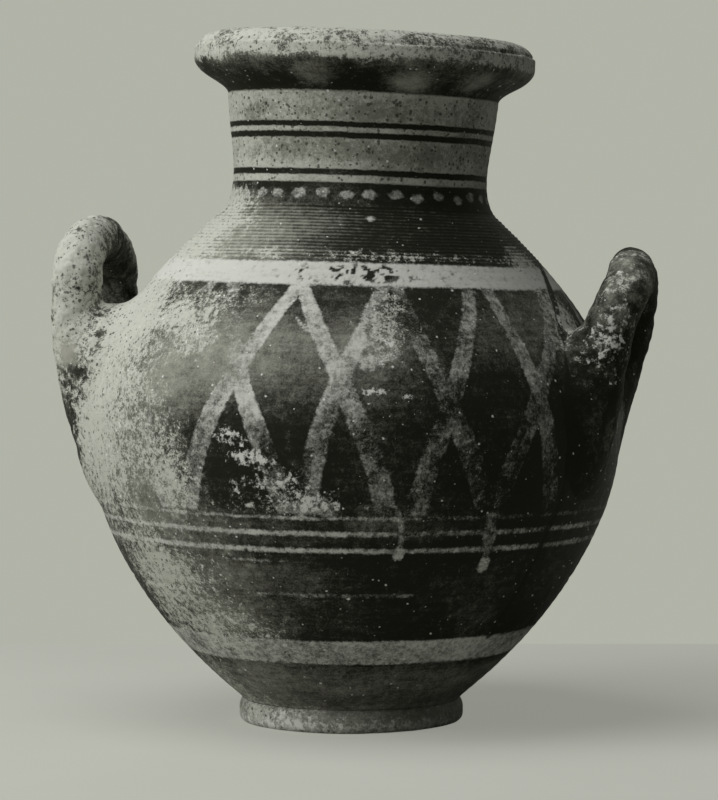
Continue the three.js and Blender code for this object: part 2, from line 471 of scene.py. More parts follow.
def path_field(turn, height, radius, path, half):
    """Distance inside a painted line that follows turns and heights."""
    field = np.full(len(turn), far_out)
    for (turn_a, height_a), (turn_b, height_b) in zip(path, path[1:]):
        ax = np.radians(apart(turn, turn_a)) * radius
        bx = np.radians(turn_b - turn_a) * radius
        ay, by = height - height_a, height_b - height_a
        share = np.clip((ax * bx + ay * by) / (bx**2 + by**2), 0, 1)
        field = np.maximum(field, half - np.hypot(ax - share * bx, ay - share * by))
    return field


def chip_field(turn, height, radius):
    """Distance inside the chips."""
    field = np.full(len(turn), far_out)
    for chip_turn, chip_height, size in chips:
        across = np.radians(apart(turn, chip_turn)) * radius
        field = np.maximum(field, size - np.hypot(across, height - chip_height))
    return field


def smear_field(at, turn, height, radius, smear):
    """Distance inside an uneven smear of slip."""
    smear_turn, smear_height, wide, high, _ = smear
    away = np.hypot(np.radians(apart(turn, smear_turn)) * radius / wide, (height - smear_height) / high)
    return (1 - away) * min(wide, high) + min(1, high / smear_whole) * smear_rough * cloud(at, 9, 73)


def dot_field(turn, height, radius, rough):
    """Distance inside the dots under the neck."""
    pitch = 360 / dot_count
    number = np.round((turn - dot_turn) / pitch)
    stray = np.random.default_rng(5).normal(0, dot_stray, (dot_count, 2))[number.astype(int) % dot_count]
    across = np.radians(turn - dot_turn - number * pitch) * radius + stray[:, 0]
    up = height - dot_height + 0.8 * stray[:, 1]
    return dot_radius + rough - np.hypot(across * dot_narrowing, up)


def ridge_wave(at, height, reach):
    """The fine throwing ridges of the upper shoulder, from -1 in a valley to 1 on a crest."""
    wave = np.sin(2 * math.pi * (reach + 0.5 * cloud(at, 40, 57, 2)) / ridge_step)
    return wave * smooth(height, ridge_low, ridge_low + 5) * smooth(-height, -ridge_high, 3 - ridge_high)


def side_share(turn, way, start, full):
    """How far a place lies on the right (way 1) or left (way -1) half of the jar, fading out at the back."""
    away = way * apart(turn, view_turn)
    return smooth(away, start, full) * smooth(-away, -178, -125)


def wear_field(at, turn, height, reach):
    """How much of the paint has gone, from 0 to 1."""
    wear = gathered(turn, height, worn_places)
    wear = wear + 0.3 * cloud(at, 30, 31) * (0.3 + 2.6 * wear * (1 - wear))
    wear = least_wear + (1 - least_wear) * wear + ridge_wear * ridge_wave(at, height, reach) * (0.3 + wear)
    # The rim has kept its paint underneath and, on its right half, over the groove
    rim_top = smooth(height + 3 * cloud(at, 12, 35), rim_wear_low, rim_wear_high)
    kept = side_share(turn, 1, -15, 35) * bump_at(height - face_high - 2.5, 3)
    top_wear = rim_wear - 0.2 * kept + 0.26 * cloud(at, 14, 39)
    whole_rim = rim_top * top_wear + (1 - rim_top) * least_wear
    wear = np.where(height > rim_seam, whole_rim, np.where(height > collar_top, least_wear, wear))
    return np.clip(wear, 0, 1)


def tone_field(at, turn, height, wear):
    """How pale the bare clay is, from 0 to 1, with painted light on the neck's left."""
    lit_and_pale_sides = painted_light_left * side_share(turn, -1, 10, 75) + right_tone * side_share(turn, 1, 5, 45)
    neck = neck_tone + lit_and_pale_sides + 0.35 * cloud(at, 14, 45) - gathered(turn, height, soiled_places)
    return np.where((height > collar_top) & (height < rim_seam), neck, 0.12 + 0.8 * wear)


def painting(at, turn, height, radius, reach):
    """Every field of the painting and the wear at those places."""
    wander = 0.45 * cloud(at, 55, 11, 2) + 0.3 * cloud(at, 14, 14, 2)
    rough = 0.7 * cloud(at, 7, 17, 2)
    level = height + wander
    pale = np.full(len(turn), far_out)
    solid = np.zeros(len(turn))

    def lay(field, strength):
        """Lays one area of slip over those before it."""
        nonlocal pale, solid
        above = field > pale
        solid = np.where(above & (field > -2.5), strength, solid)
        pale = np.maximum(pale, field)

    wear = wear_field(at, turn, height, reach)
    # The slip is thinner on the right half, which for the strokes also paints the shade of the side away from
    # the lamps; the strokes' slip thins towards their feet too
    right = smooth(turn, 5, 35) * smooth(-turn, -150, -100)
    fade = np.interp(turn, *zip(*stroke_fade_and_shade)) * (1 - foot_fade * (1 + right) * smooth(-height, -225, -150))
    fade = fade + 0.05 + 0.5 * cloud(at, 16, 21)
    fade = fade - 0.7 * smooth(wear, 0.3, 0.7) - gathered(turn, height, rubbed_places)
    lay(stroke_field(turn, height, radius, rough), fade)
    for smear in smears:
        lay(smear_field(at, turn, height, radius, smear), smear[-1] + 0.4 * cloud(at, 8, 75))
    lay(between(level, *light_band) - 1.0, light_solid + 0.3 * cloud(at, 18, 23))
    for middle, half, strength in thin_lines:
        lay(half + 0.5 * rough - np.abs(level - middle), strength - 0.3 * right + 0.3 * cloud(at, 15, 25))
    fleck_turn, fleck_height, wide, high, strength = band_flecks
    flecked = bump_at(apart(turn, fleck_turn), wide) * bump_at(height - fleck_height, high)
    flecks = strength * flecked * smooth(cloud(at, 3.2, 71, 2) + 0.5 * cloud(at, 12, 72, 1), 0.02, 0.2)
    lay(between(level, band_low, band_high), band_solid - flecks + 0.25 * cloud(at, 30, 27))
    lay(dot_field(turn, height, radius, rough), dot_solid)
    for path, half, strength in fine_marks:
        lay(path_field(turn, height, radius, path, half) + 0.4 * rough, strength)
    stripe = path_field(turn, height, radius, stripe_path, stripe_half) + rough
    # How thin the dark paint is; on the front left this also paints the paint's sheen
    thin = gathered(turn, height, thin_and_sheen_places) + 0.4 * cloud(at, 45, 43) + 0.3 * ridge_wave(at, height, reach)
    return {
        "dark": dark_field(level),
        "pale": pale,
        "solid": solid,
        "stripe": np.maximum(stripe, chip_field(turn, height, radius)),
        "wear": wear,
        "tone": tone_field(at, turn, height, wear),
        "thin": thin,
        "crust": gathered(turn, height, crust_places),
        "grit": np.where(height < collar_top, body_grit, np.where(height < rim_seam, neck_grit, rim_grit)),
    }


def unpainted(fields, hidden):
    """The same fields with the paint taken off the hidden places, which only a potter's hand has touched."""
    for name, value in (("dark", far_out), ("pale", far_out), ("stripe", far_out), ("tone", 0.4)):
        fields[name] = np.where(hidden, value, fields[name])
    return fields


# Relief of the thrown surface, in millimetres outwards

lump_height, grain_height, ridge_height = 0.7, 0.2, 0.2
ring_height, ring_step = 0.06, 6.3
score_depth, groove_depth, line_half = 0.35, 0.7, 0.9
waist_rise, waist_half = 0.4, 2.6
crack_depth, crack_half, chip_depth = 0.4, 1.2, 0.9


def relief(at, turn, height, radius, reach):
    """Throwing rings, lumps, the scored line, the crack and the chips. reach is the way along the outline."""
    lumps = lump_height * cloud(at, 70, 51, 2) + grain_height * cloud(at, 9, 54, 3)
    rings = ring_height * np.sin(2 * math.pi * (reach + 0.5 * cloud(at, 40, 57, 2)) / ring_step)
    ridges = ridge_height * ridge_wave(at, height, reach)
    waist = waist_rise * bump_at(height - foot_height, waist_half)
    score = score_depth * bump_at(height - score_height, line_half)
    rim_line = groove_depth * bump_at(height - face_high - 0.6, line_half)
    rim_line = rim_line * smooth(cloud(at, 20, 58), -0.3, 0.1)
    crack = crack_depth * bump_at(np.minimum(0, path_field(turn, height, radius, stripe_path, 0)), crack_half)
    chipped = chip_depth * smooth(chip_field(turn, height, radius), -0.4, 0.8)
    return lumps + rings + ridges + waist - score - rim_line - crack - chipped


def slumped(at):
    """Upright places moved as the fired jar slumped, and set down where the foot stands, in metres."""
    rate = mouth_drift / (crest - foot_height) ** 2
    up = np.maximum(0, at[:, 2] - foot_height)
    tip = np.arctan(2 * rate * up)
    x = rate * up**2 + at[:, 0] * np.cos(tip)
    z = np.maximum(0, at[:, 2] - at[:, 0] * np.sin(tip))
    return np.stack([x * mm + foot_middle, at[:, 1] * mm, z * mm], 1)


def plain_mesh(name, places, faces):
    mesh = bpy.data.meshes.new(name)
    mesh.from_pydata(places.tolist(), [], faces)
    return mesh


def new_object(name, data):
    made = bpy.data.objects.new(name, data)
    bpy.context.scene.collection.objects.link(made)
    return made


def new_piece(node, places, faces, fields, slot):
    """A smooth mesh for a CAD node, whose points carry the painting's fields."""
    mesh = plain_mesh("fired_" + node, places, faces)
    mesh.shade_smooth()
    for field, values in fields.items():
        layer = mesh.attributes.new(field, "FLOAT", "POINT")
        layer.data.foreach_set("value", np.asarray(values, np.float32))
    mesh.materials.append(materials[slot])
    return new_object("fired_" + node, mesh)


def finish_piece(piece, node):
    """Sets a piece on the jar's body, in place of its CAD node."""
    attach(piece, "root")
    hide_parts(node)


def keyed_seam(outer, inner, level, room=0.0):
    """A level seam from its outer edge to its inner one, with the tongue or, given room, its groove."""
    middle = (outer + inner) / 2
    half, quarter = tongue_width / 2 + room, tongue_width / 4 + room
    top = level + tongue_height
    up = (middle + half, level), (middle + quarter, top)
    down = (middle - quarter, top), (middle - half, level)
    return np.array([(outer, level), *up, *down, (inner, level)])


def wall_seam(height, room=0.0):
    """The same through the wall's whole thickness."""
    return keyed_seam(radius_at(outer_wall, height), radius_at(inner_wall, height), height, room)


def lathe(node, slot, parts):
    """A turned piece for a CAD node. parts are its stretches in order, each a kind and a run."""
    rows, face, corners = [], [], []
    for (kind, run), (next_kind, _) in zip(parts, parts[1:] + parts[:1]):
        rows.append(run if not rows else run[1:])
        face += [kind == "face"] * len(rows[-1])
        if "seam" in (kind, next_kind):
            corners.append(len(face) - 1)
    rows = np.vstack(rows)
    face = np.array(face)
    closed = rows[0, 0] > 0
    if closed and np.allclose(rows[0], rows[-1]):
        rows, face = rows[:-1], face[:-1]
        face[0] = parts[0][0] == "face"
    along = np.roll(rows, -1, 0) - np.roll(rows, 1, 0) if closed else np.gradient(rows, axis=0)
    # The seams' corners keep the wall's own direction, so that neighbours meet
    edge = np.flatnonzero(face)
    if len(edge):
        low, high = edge[0], edge[-1]
        along[low] = rows[low + 1] - rows[low]
        along[high] = rows[high] - rows[high - 1]
    along /= np.linalg.norm(along, axis=1)[:, None]
    turn = apart(np.tile(np.arange(columns) * 360 / columns, len(rows)), 0)
    radius, height = np.repeat(rows[:, 0], columns), np.repeat(rows[:, 1], columns)
    at = round_place(turn, height, radius)
    outline = reach_at(height)
    shown = np.repeat(face, columns)
    push = relief(at, turn, height, np.maximum(radius, 1), outline) * shown
    out = np.repeat(np.stack([along[:, 1], -along[:, 0]], 1), columns, 0)
    shaped = round_place(turn, height + push * out[:, 1], radius + push * out[:, 0])
    fields = unpainted(painting(at, turn, height, np.maximum(radius, 1), outline), ~shown)
    count = len(rows)
    index = np.arange(count * columns).reshape(count, columns)
    if closed:
        index = np.vstack([index, index[:1]])
    index = np.hstack([index, index[:, :1]])
    a, b, c, d = index[:-1, :-1], index[:-1, 1:], index[1:, 1:], index[1:, :-1]
    faces = np.stack([a, b, c, d], -1).reshape(-1, 4).tolist()
    if not closed:
        # The two rows on the axis shrink to a point each
        for row in (0, count - 1):
            shaped[index[row, :-1]] = shaped[index[row, :-1]].mean(0)
    piece = new_piece(node, slumped(shaped), faces, fields, slot)
    sharpen(piece, [row % count for row in corners])
    if not closed:
        join_points(piece)
    finish_piece(piece, node)


def sharpen(piece, rows):
    """Marks the rings of edges along those rows as sharp, so that the shading of neighbours meets there."""
    ends = np.empty(len(piece.data.edges) * 2, np.int32)
    piece.data.edges.foreach_get("vertices", ends)
    ends = ends.reshape(-1, 2) // columns
    sharp = (ends[:, 0] == ends[:, 1]) & np.isin(ends[:, 0], rows)
    layer = piece.data.attributes.new("sharp_edge", "BOOLEAN", "EDGE")
    layer.data.foreach_set("value", sharp)


def join_points(piece):
    """Joins the points that lie in one place."""
    work = bmesh.new()
    work.from_mesh(piece.data)
    bmesh.ops.remove_doubles(work, verts=work.verts, dist=1e-7)
    work.to_mesh(piece.data)
    work.free()


# Materials

class Nodes:
    """Short calls that add nodes to a tree."""

    def __init__(self, tree):
        self.tree = tree

    def node(self, kind):
        return self.tree.nodes.new(kind)

    def feed(self, socket, value):
        if isinstance(value, bpy.types.NodeSocket):
            self.tree.links.new(value, socket)
        else:
            socket.default_value = value

    def calc(self, operation, *values):
        node = self.node("ShaderNodeMath")
        node.operation = operation
        for socket, value in zip(node.inputs, values):
            self.feed(socket, value)
        return node.outputs[0]

    def mixed_shader(self, share, first, second):
        node = self.node("ShaderNodeMixShader")
        for socket, value in zip(node.inputs, (share, first, second)):
            self.feed(socket, value)
        return node.outputs[0]


class Clay(Nodes):
    """A new material with the nodes that fired clay and the table need."""

    def __init__(self, name):
        self.material = bpy.data.materials.new(name)
        self.material.use_nodes = True
        super().__init__(self.material.node_tree)
        self.shader = self.tree.nodes["Principled BSDF"]
        self.place = self.node("ShaderNodeTexCoord").outputs["Object"]

    def attribute(self, name):
        node = self.node("ShaderNodeAttribute")
        node.attribute_name = name
        return node.outputs["Fac"]

    def times(self, value, share):
        return self.calc("MULTIPLY", value, share)

    def add(self, *terms):
        """The sum of terms that are each a value, or a value and its weight."""
        values = [self.times(*term) if isinstance(term, tuple) else term for term in terms]
        total = values[0]
        for value in values[1:]:
            total = self.calc("ADD", total, value)
        return total

    def without(self, share):
        """What a share leaves of 1."""
        return self.calc("SUBTRACT", 1.0, share)

    def rise(self, value, low, high, least=0.0, most=1.0):
        """A smooth rise from least at low to most at high."""
        node = self.node("ShaderNodeMapRange")
        node.interpolation_type = "SMOOTHSTEP"
        names = ("Value", "From Min", "From Max", "To Min", "To Max")
        for name, number in zip(names, (value, low, high, least, most)):
            self.feed(node.inputs[name], number)
        return node.outputs["Result"]

    def moved_place(self, squash, offset):
        mapping = self.node("ShaderNodeMapping")
        self.feed(mapping.inputs["Vector"], self.place)
        mapping.inputs["Scale"].default_value = squash
        mapping.inputs["Location"].default_value = (offset, offset, offset)
        return mapping.outputs[0]

    def grain(self, size, detail=4.0, roughness=0.6, squash=(1, 1, 1), offset=0.0):
        """Noise about 0 whose features are that many millimetres across."""
        node = self.node("ShaderNodeTexNoise")
        self.feed(node.inputs["Vector"], self.moved_place(squash, offset))
        node.inputs["Scale"].default_value = 1000 / size
        node.inputs["Detail"].default_value = detail
        node.inputs["Roughness"].default_value = roughness
        return self.calc("SUBTRACT", node.outputs["Fac"], 0.5)

    def spots(self, spacing, largest, offset=0.0):
        """Scattered spots, above 0 inside, mostly small. largest is the widest radius, in spacings."""
        cells = self.node("ShaderNodeTexVoronoi")
        self.feed(cells.inputs["Vector"], self.moved_place((1, 1, 1), offset))
        cells.inputs["Scale"].default_value = 1000 / spacing
        channels = self.node("ShaderNodeSeparateColor")
        self.feed(channels.inputs[0], cells.outputs["Color"])
        size = self.calc("POWER", channels.outputs[0], 5.0)
        return self.calc("SUBTRACT", self.times(size, largest), cells.outputs["Distance"])

    def mix(self, share, first, second):
        """The colour that far on the way from the first to the second."""
        node = self.node("ShaderNodeMix")
        node.data_type = "RGBA"
        self.feed(node.inputs["Factor"], share)
        for name, value in (("A", first), ("B", second)):
            socket = next(s for s in node.inputs if s.name == name and s.type == "RGBA")
            self.feed(socket, value if isinstance(value, bpy.types.NodeSocket) else (*value, 1))
        return next(s for s in node.outputs if s.type == "RGBA")


pale_clay = (0.45, 0.46, 0.405)
dull_clay = (0.17, 0.174, 0.14)
# Paint that the clay shows through, also the colour of the painted sheen
thin_paint_and_sheen = (0.30, 0.305, 0.255)
dark_paint = (0.011, 0.011, 0.0072)
white_slip = (0.50, 0.51, 0.465)
grey_slip = (0.32, 0.325, 0.285)
lime = (0.66, 0.67, 0.62)
dirt = (0.05, 0.05, 0.037)
# How much of the surface they hide
stripe_cover, lime_cover, dirt_cover = 0.92, 0.85, 0.8
clay_rough, clay_shine = 0.92, 0.07
bump_strength, bump_height = 0.9, 0.45
# The sums of wear and noise at which paint starts to go and is gone
paint_holds, paint_gone = 0.38, 0.72


def fired_clay(name, paint_rough, brush_marks):
    """Fired clay under paint and slip, which the pieces' fields and one set of noises lay out."""
    clay = Clay(name)
    dark, pale, solid, stripe, wear, thin, tone, crust, grit = map(
        clay.attribute, ("dark", "pale", "solid", "stripe", "wear", "thin", "tone", "crust", "grit")
    )
    fine = clay.grain(1.0, 5, 0.72)
    mottle = clay.grain(3.2, 6, 0.7)
    clump = clay.grain(8, 5, 0.65)
    patch = clay.grain(22, 5, 0.62)
    brushed = clay.times(clay.grain(2.4, 3, 0.6, squash=(0.08, 0.08, 1)), brush_marks)
    edge = clay.add((fine, 1.6), (mottle, 2.6))
    ragged = clay.add((fine, 0.35), (mottle, 0.45), (clump, 0.2))

    # Bare clay where the paint is lost, and paint that the clay shows through where it is thin, which on the
    # front left is also a painted sheen
    worn = clay.add(wear, (fine, 0.9), (mottle, 1.5), (clump, 0.6), (patch, 0.3))
    lost = clay.rise(worn, paint_holds, paint_gone)
    shade = clay.add(tone, (mottle, 1.9), (fine, 1.5), (patch, 0.7))
    bare = clay.mix(clay.rise(shade, -0.1, 0.9), dull_clay, pale_clay)
    faded_and_sheen = clay.add(thin, (wear, 0.5), (brushed, 0.5), (mottle, 1.0), (fine, 1.1), (clump, 0.9))
    paint = clay.mix(clay.rise(faded_and_sheen, 0.05, 1.65), dark_paint, thin_paint_and_sheen)
    covered = clay.times(clay.rise(clay.add(dark, edge), -0.4, 0.4), clay.without(lost))
    colour = clay.mix(covered, bare, paint)

    # Pale slip, thin in places and broken by the same noise
    slip_shade = clay.add((mottle, 1.3), (brushed, 0.5), (solid, 0.3))
    slip = clay.mix(clay.rise(slip_shade, -0.1, 0.4), grey_slip, white_slip)
    thick = clay.add(solid, (mottle, 1.4), (fine, 1.1), (clump, 0.7), (patch, 0.6))
    slipped = clay.times(clay.rise(clay.add(pale, edge), -0.7, 0.9), clay.rise(thick, 0.0, 1.1))
    colour = clay.mix(slipped, colour, slip)
    colour = clay.mix(clay.rise(clay.add(stripe, edge), -0.6, 0.8, 0.0, stripe_cover), colour, dark_paint)

    # Grains and lumps of lime on the paint, pits and dirt in the pale clay
    grains = clay.calc("MAXIMUM", clay.spots(3.2, 0.3, 0.31), clay.spots(8, 0.17, 0.83))
    grains = clay.rise(clay.add(grains, (ragged, 0.9), -0.05), 0.0, 0.05, 0.0, lime_cover)
    lumps = clay.add(clay.grain(3.8, 6, 0.75, offset=0.47), (crust, 0.3), (clump, 0.4))
    limed = clay.calc("MAXIMUM", grains, clay.rise(lumps, 0.22, 0.32, 0.0, lime_cover))
    colour = clay.mix(limed, colour, lime)
    pits = clay.calc("MAXIMUM", clay.spots(1.7, 0.75, 0.57), clay.spots(5, 0.28, 0.13))
    pits = clay.rise(clay.add(pits, (ragged, 1.2), (grit, 0.12), -0.14), 0.0, 0.14)
    pitted = clay.times(pits, clay.without(covered))
    colour = clay.mix(clay.times(pitted, dirt_cover), colour, dirt)
    clay.feed(clay.shader.inputs["Base Color"], colour)

    rough = clay.rise(clay.calc("SUBTRACT", covered, slipped), 0.0, 1.0, clay_rough, paint_rough)
    clay.feed(clay.shader.inputs["Roughness"], rough)
    clay.shader.inputs["Specular IOR Level"].default_value = clay_shine

    height = clay.add(
        (fine, 0.7), (mottle, 1.2), (brushed, 0.4), (lost, -0.3), (slipped, 0.2), (pitted, -0.9), (limed, 0.4)
    )
    bump = clay.node("ShaderNodeBump")
    bump.inputs["Strength"].default_value = bump_strength
    bump.inputs["Distance"].default_value = bump_height * mm
    clay.feed(bump.inputs["Height"], height)
    clay.feed(clay.shader.inputs["Normal"], bump.outputs[0])
    return clay.material


# Each slot's clay: how rough its paint is, and how much its brush marks show
materials = {
    slot: fired_clay(slot, paint_rough, brush_marks)
    for slot, paint_rough, brush_marks in (
        ("painted_clay", 0.6, 1.0),
        ("slipped_clay", 0.7, 1.0),
        ("worn_clay", 0.75, 0.15),
    )
}


# The turned pieces

def straight(start, end, step):
    return spaced(np.array([start, end]), step)


def foot_ring():
    low = bezier([(foot_radius - foot_round, 0), (foot_radius, 0), (foot_radius, foot_round)], 8)
    upright = (foot_radius, foot_height - 6), (foot_radius, foot_height - 2.5)
    high = bezier([*upright, (foot_waist, foot_height)], 8)
    parts = [
        ("under", straight((foot_bore, 0), (foot_radius - foot_round, 0), foot_hidden_step)),
        ("face", spaced(joined(low, high), foot_step)),
        ("seam", keyed_seam(foot_waist, foot_bore, foot_height)),
        ("inside", straight((foot_bore, foot_height), (foot_bore, 0), foot_hidden_step)),
    ]
    lathe("foot_ring", "painted_clay", parts)


def face_stretches(low, steps):
    """The wall's outer face from a height on, in stretches that each have a top and a fineness."""
    faces = []
    for top, step in steps:
        faces.append(("face", spaced(stretch(outer_wall, low, top), step)))
        low = top
    return faces


def lower_body():
    under, floor_top = foot_height + slip_gap, foot_height + floor_thickness
    foot_groove = keyed_seam(foot_waist, foot_bore, under, slip_gap)[::-1]
    inner = stretch(inner_wall, floor_top, belly)[::-1]
    parts = [
        ("under", straight((0, under), (foot_bore, under), bowl_hidden_step)),
        ("seam", np.vstack([foot_groove[:-1], [(bowl_base, foot_height)]])),
        *face_stretches(foot_height, bowl_steps),
        ("seam", wall_seam(belly)),
        ("inside", spaced(inner, bowl_hidden_step)),
        ("inside", straight(inner[-1], (0, floor_top), bowl_hidden_step)),
    ]
    lathe("lower_body", "painted_clay", parts)


def wall_section(node, slot, low, high, steps):
    """A section of the wall between two seams."""
    parts = [
        *face_stretches(low, steps),
        ("seam", wall_seam(high)),
        ("inside", spaced(stretch(inner_wall, low, high)[::-1], wall_hidden_step)),
        ("seam", wall_seam(low, slip_gap)[::-1]),
    ]
    lathe(node, slot, parts)


def rim():
    mouth = rim_seam_radius - wall
    rising = (rim_seam_radius, rim_seam), (rim_seam_radius + 1, rim_seam + 6.5)
    flare = bezier([*rising, (rim_radius, face_low - 10), (rim_radius, face_low)])
    inset = rim_radius - groove
    step = np.array([(rim_radius, face_low), (rim_radius, face_high), (inset, face_high + groove / 2)])
    top = bezier([(inset, face_high + groove), (rim_radius - 4 * groove, crest), (crest_radius, crest)])
    lip = bezier([(crest_radius, crest), (mouth, crest), (mouth, crest - lip_height)])
    parts = [
        ("face", spaced(joined(flare, step, np.vstack([step[-1:], top]), lip), rim_step)),
        ("inside", straight((mouth, crest - lip_height), (mouth, rim_seam), rim_hidden_step)),
        ("seam", keyed_seam(rim_seam_radius, mouth, rim_seam, slip_gap)[::-1]),
    ]
    lathe("rim", "slipped_clay", parts)


foot_ring()
lower_body()
wall_section("shoulder", "painted_clay", belly, neck_seam, shoulder_steps)
wall_section("neck", "slipped_clay", neck_seam, rim_seam, neck_steps)
rim()


# The handles

def handle_line(handle):
    """A handle's centre line: a leg that leaves the wall, a flat bend, and the other leg."""
    half = loop_span / 2
    reach = belly_radius + handle["stand_off"]
    crown = belly + handle["rise"]
    tail = belly - handle["tail"]
    sunk = math.sqrt((radius_at(outer_wall, tail) - handle["coil"]) ** 2 - half**2)
    knee = (reach + handle["bow"], half, belly + handle["knee"])
    leg = bezier([(sunk, half, tail), knee, (reach, half, crown - loop_bend)], leg_points)
    turn = np.linspace(0, math.pi, bend_points)[1:-1]
    height = crown - loop_bend * (1 - np.sin(turn))
    bend = np.stack([np.full_like(turn, reach), half * np.cos(turn), height], 1)
    line = np.vstack([leg, bend, (leg * (1, -1, 1))[::-1]])
    # Both handles are made at +X and the left one is turned half round later, so its front leg starts at +Y
    for leg_name, way in (("front", -handle["side"]), ("back", handle["side"])):
        heights, shifts = zip(*handle[leg_name])
        line[:, 0] += np.interp(line[:, 2] - belly, heights, shifts) * smooth(way * line[:, 1], -15, half)
    return line


def soft_union(first, second, reach):
    """Two distance fields run together, with a hollow of that reach where they meet."""
    share = np.clip(0.5 + 0.5 * (second - first) / reach, 0, 1)
    return second * (1 - share) + first * share - reach * share * (1 - share)


def coil_field(grid, line, handle):
    """Distance to the rolled coil, worked out only near it."""
    coil, crown = handle["coil"], line[:, 2].max()
    margin = coil + max(wall_blend, handle["web"])
    field = np.full(grid.shape[:3], margin - coil, np.float32)
    low, high = grid[0, 0, 0], grid[-1, -1, -1]
    for a, b in zip(line, line[1:]):
        # The coil is a little thinner over the crown
        thick = coil - crown_thinning * smooth(a[2], crown - loop_bend, crown)
        thick += handle["swell"] * smooth(-handle["side"] * a[1], -10, 25)
        first = np.maximum(0, np.floor((np.minimum(a, b) - margin - low) / voxel)).astype(int)
        last = np.minimum(field.shape, np.ceil((np.maximum(a, b) + margin - low) / voxel)).astype(int)
        block = tuple(slice(f, l) for f, l in zip(first, last))
        near = grid[block] - a
        way = b - a
        share = np.clip(near @ way / (way @ way), 0, 1)
        gap = np.linalg.norm(near - share[..., None] * way, axis=-1) - thick
        field[block] = np.minimum(field[block], gap)
    return field


def clay_field(grid, across):
    """Distance to the clay smeared round a root: an upright egg half sunk in the wall."""
    height = belly + root_rise
    radius = radius_at(outer_wall, height)
    angle = math.asin(across / radius)
    x, y, z = grid[..., 0], grid[..., 1], grid[..., 2] - height
    out = x * math.cos(angle) + y * math.sin(angle) - radius
    side = y * math.cos(angle) - x * math.sin(angle)
    scaled = np.stack([out / root_size[0], side / root_size[1], z / root_size[2]], -1)
    near = np.linalg.norm(scaled, axis=-1)
    steep = np.linalg.norm(scaled / root_size, axis=-1)
    return near * (near - 1) / np.maximum(steep, 1e-6)


def handle_solid(handle):
    """The handle's clay as places and faces: coil and root clay run together and feather out on the wall."""
    low = np.array([handle_near, -handle_half, belly - handle["tail"] - room_below])
    high = np.array([handle_far, handle_half, belly + handle["rise"] + handle["coil"] + room_above])
    axes = [np.arange(a, b, voxel) for a, b in zip(low, high)]
    grid = np.stack(np.meshgrid(*axes, indexing="ij"), -1)
    field = coil_field(grid, handle_line(handle), handle)
    for across in (loop_span / 2, -loop_span / 2):
        field = soft_union(field, clay_field(grid, across), root_blend)
    level = grid[..., 2]
    lean = np.gradient(outer_wall[:, 0]) / np.gradient(outer_wall[:, 1])
    from_wall = np.hypot(grid[..., 0], grid[..., 1]) - radius_at(outer_wall, level)
    from_wall = from_wall / np.sqrt(1 + np.interp(level, outer_wall[:, 1], lean) ** 2)
    blend = np.interp(level, [belly + web_start, belly + web_full], [wall_blend, handle["web"]])
    skirt = soft_union(field, from_wall, blend) + edge_dip * smooth(field, 4, blend)
    solid = np.maximum(skirt, -(from_wall + sunk_depth))
    volume = openvdb.FloatGrid(no_clay)
    volume.copyFromArray(np.ascontiguousarray(solid, np.float32))
    places, triangles, quads = volume.convertToPolygons(0.0, 0.0)
    return places * voxel + low, [*triangles.tolist(), *quads.tolist()]


def surface_normals(places, faces):
    mesh = plain_mesh("scratch", places, faces)
    normals = np.zeros(len(places) * 3, np.float32)
    mesh.vertex_normals.foreach_get("vector", normals)
    bpy.data.meshes.remove(mesh)
    return normals.reshape(-1, 3)


# From how far off the wall a handle starts to have its own painting, and where it has no more of the wall's
own_start, own_full = 2.5, 8.0
# What the wear and the lime on a handle change by, how much less wear its sheltered inner side has, whose
# kept dark paint also paints the shade inside the loop, how pale its bare clay is, and its grit
wear_clouds, thin_clouds, lime_base, lime_clouds = 0.42, 0.5, 0.1, 0.3
shelter_and_painted_shade, handle_tone, handle_grit = 0.58, 0.4, 0.9
# How far below the crown the middle of the loop lies
loop_depth = 40.0
# Hand-pressed lumps, large and small, the flakes of crust, and how far the feathered edge is lifted
press_height, finger_height, flake_height, edge_lift = 1.4, 0.9, 0.7, 0.2
# Each handle's wear, how thin its paint is, and places that differ: where, their reach, and what they add to
# the wear, the thinness and the lime
handle_looks = {
    "left_handle": (0.65, 0.3, [
        ((-165, -50, 262), 30, 0.3, 0.2, 0.2),
        ((-172, -54, 244), 13, -0.28, 0.1, 0.0),
        ((-158, -62, 214), 11, -0.3, 1.2, 0.0),
        ((-160, -62, 234), 9, 0.25, 0.2, 0.2),
        ((-152, -55, 168), 36, -0.32, 0.0, 0.1),
        # Less wear on the crown's inner side keeps it dark there: painted shade
        ((-150, 8, 286), 20, -0.3, 0.1, 0.0),
    ]),
    "right_handle": (0.02, 0.06, [
        ((166, -46, 282), 28, 0.5, 0.6, 0.1),
        ((155, -60, 226), 17, 0.1, 0.1, 0.5),
        ((149, -60, 208), 10, 0.0, 0.1, 0.45),
        ((160, -60, 245), 14, 0.12, 0.3, 0.42),
        ((130, -40, 234), 20, 0.3, 0.8, 0.5),
    ]),
}


